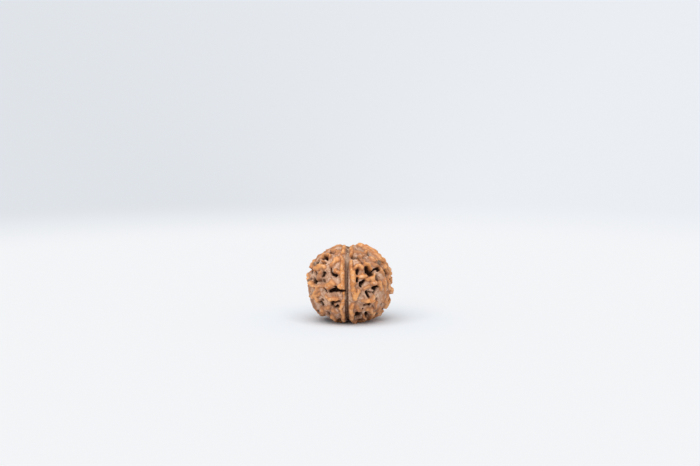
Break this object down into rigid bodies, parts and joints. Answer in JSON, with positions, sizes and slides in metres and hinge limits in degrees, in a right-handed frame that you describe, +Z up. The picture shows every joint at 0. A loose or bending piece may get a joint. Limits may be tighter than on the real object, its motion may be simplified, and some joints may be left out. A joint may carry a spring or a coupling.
{
  "type": "rudraksha bead",
  "caption": "Warty, ridged, slightly flattened round seed bead with meridian grooves and a thread hole from pole to pole.",
  "frame": {"origin": "middle of the flat spot that the bead rests on: the bottom centre of its bounding box, on the surface it stands on", "axes": "+Z up along the thread hole, pole to pole; -Y toward the face with the straight groove that the picture shows; +X to that view's right"},
  "size_m": [0.0204, 0.0203, 0.018],
  "materials": {
    "seed_wood": "dry satin, worn a little glossy and more orange on the ridges, with pinkish grey valleys and near black pits"
  },
  "bodies": {
    "root": {"rudraksha_bead": "seed_wood"}
  },
  "joints": []
}
